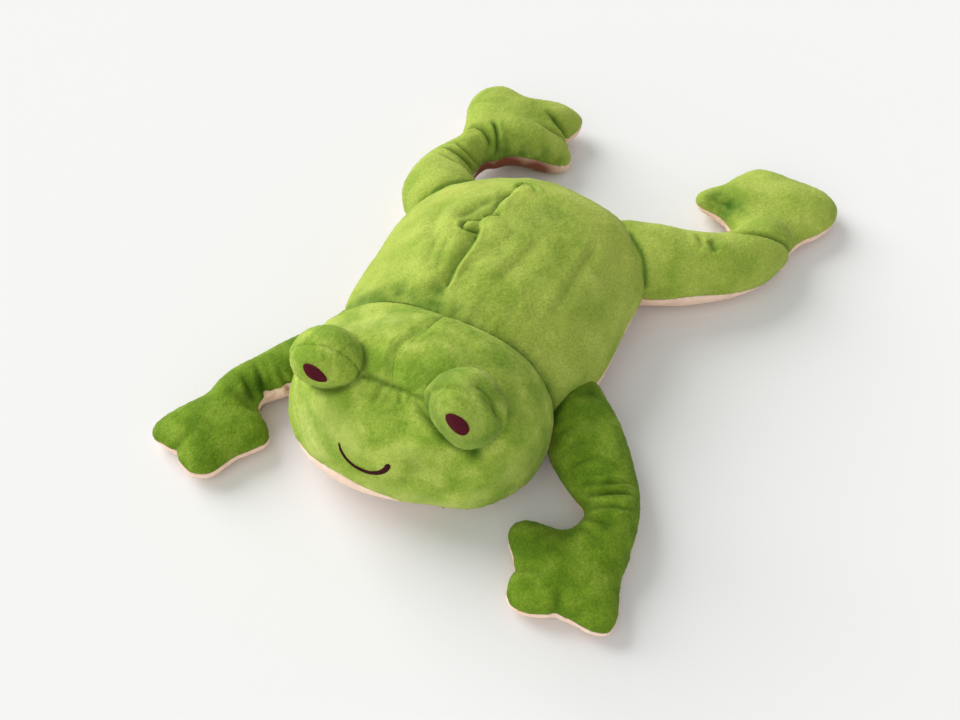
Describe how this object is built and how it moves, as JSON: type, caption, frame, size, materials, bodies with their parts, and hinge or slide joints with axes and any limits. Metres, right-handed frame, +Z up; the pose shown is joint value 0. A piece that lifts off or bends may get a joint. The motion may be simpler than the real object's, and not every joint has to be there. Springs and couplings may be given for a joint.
{
  "type": "plush frog",
  "caption": "Soft stuffed frog lying flat on its belly, with a domed head, bulging eyes, an embroidered smile and four splayed limbs that end in three-toed paws.",
  "frame": {"origin": "middle of the flat patch that the belly rests on", "axes": "+Z up, the frog faces -Y, and +X is its own left"},
  "size_m": [0.3108, 0.3764, 0.1025],
  "materials": {
    "plush_green": "short brushed plush pile, yellow-green",
    "plush_deep_green": "short brushed plush pile, deeper green",
    "plush_pink": "short smooth velour, pale pink",
    "satin_maroon": "satin-stitched embroidery thread, dark maroon",
    "fibrefill": "loose white polyester fibre, hidden inside"
  },
  "bodies": {
    "torso": {"back_panel_left": "plush_green", "back_panel_right": "plush_green", "belly_panel": "plush_pink", "body_stuffing": "fibrefill"},
    "head": {"crown_panel_left": "plush_green", "crown_panel_right": "plush_green", "face_panel": "plush_green", "chin_panel": "plush_pink", "head_stuffing": "fibrefill", "eye_cap_left": "plush_green", "eye_front_left": "plush_green", "eye_left_stuffing": "fibrefill", "pupil_left": "satin_maroon", "eye_cap_right": "plush_green", "eye_front_right": "plush_green", "eye_right_stuffing": "fibrefill", "pupil_right": "satin_maroon", "mouth_embroidery": "satin_maroon"},
    "arm_left": {"arm_left_top_panel": "plush_deep_green", "arm_left_under_panel": "plush_pink", "arm_left_stuffing": "fibrefill"},
    "arm_right": {"arm_right_top_panel": "plush_deep_green", "arm_right_under_panel": "plush_pink", "arm_right_stuffing": "fibrefill"},
    "paw_left": {"paw_left_top_panel": "plush_deep_green", "paw_left_under_panel": "plush_pink", "paw_left_stuffing": "fibrefill"},
    "paw_right": {"paw_right_top_panel": "plush_deep_green", "paw_right_under_panel": "plush_pink", "paw_right_stuffing": "fibrefill"},
    "leg_left": {"leg_left_top_panel": "plush_green", "leg_left_under_panel": "plush_pink", "leg_left_stuffing": "fibrefill"},
    "leg_right": {"leg_right_top_panel": "plush_green", "leg_right_under_panel": "plush_pink", "leg_right_stuffing": "fibrefill"},
    "foot_left": {"foot_left_top_panel": "plush_green", "foot_left_under_panel": "plush_pink", "foot_left_stuffing": "fibrefill"},
    "foot_right": {"foot_right_top_panel": "plush_green", "foot_right_under_panel": "plush_pink", "foot_right_stuffing": "fibrefill"}
  },
  "joints": [
    {"name": "neck_nod", "type": "hinge", "parent": "torso", "child": "head", "pos_m": [0, -0.108, 0.025], "axis": [1, 0, 0], "range_deg": [-12, 12]},
    {"name": "shoulder_left", "type": "hinge", "parent": "torso", "child": "arm_left", "pos_m": [0.077, -0.055, 0.0165], "axis": [-1, 0, 0], "range_deg": [-20, 30]},
    {"name": "shoulder_right", "type": "hinge", "parent": "torso", "child": "arm_right", "pos_m": [-0.077, -0.055, 0.0165], "axis": [-1, 0, 0], "range_deg": [-20, 30]},
    {"name": "wrist_left", "type": "hinge", "parent": "arm_left", "child": "paw_left", "pos_m": [0.12, -0.13, 0.0135], "axis": [0, 0, 1], "range_deg": [-20, 20]},
    {"name": "wrist_right", "type": "hinge", "parent": "arm_right", "child": "paw_right", "pos_m": [-0.11, -0.129, 0.0135], "axis": [0, 0, 1], "range_deg": [-20, 12]},
    {"name": "hip_left", "type": "hinge", "parent": "torso", "child": "leg_left", "pos_m": [0.066, 0.055, 0.0245], "axis": [0.6843, -0.7292, 0], "range_deg": [-10, 35]},
    {"name": "hip_right", "type": "hinge", "parent": "torso", "child": "leg_right", "pos_m": [-0.066, 0.055, 0.0245], "axis": [0.9954, 0.0963, 0], "range_deg": [-10, 35]},
    {"name": "ankle_left", "type": "hinge", "parent": "leg_left", "child": "foot_left", "pos_m": [0.131, 0.116, 0.016], "axis": [0, 0, 1], "range_deg": [-20, 20]},
    {"name": "ankle_right", "type": "hinge", "parent": "leg_right", "child": "foot_right", "pos_m": [-0.072, 0.117, 0.016], "axis": [0, 0, 1], "range_deg": [-20, 20]}
  ]
}
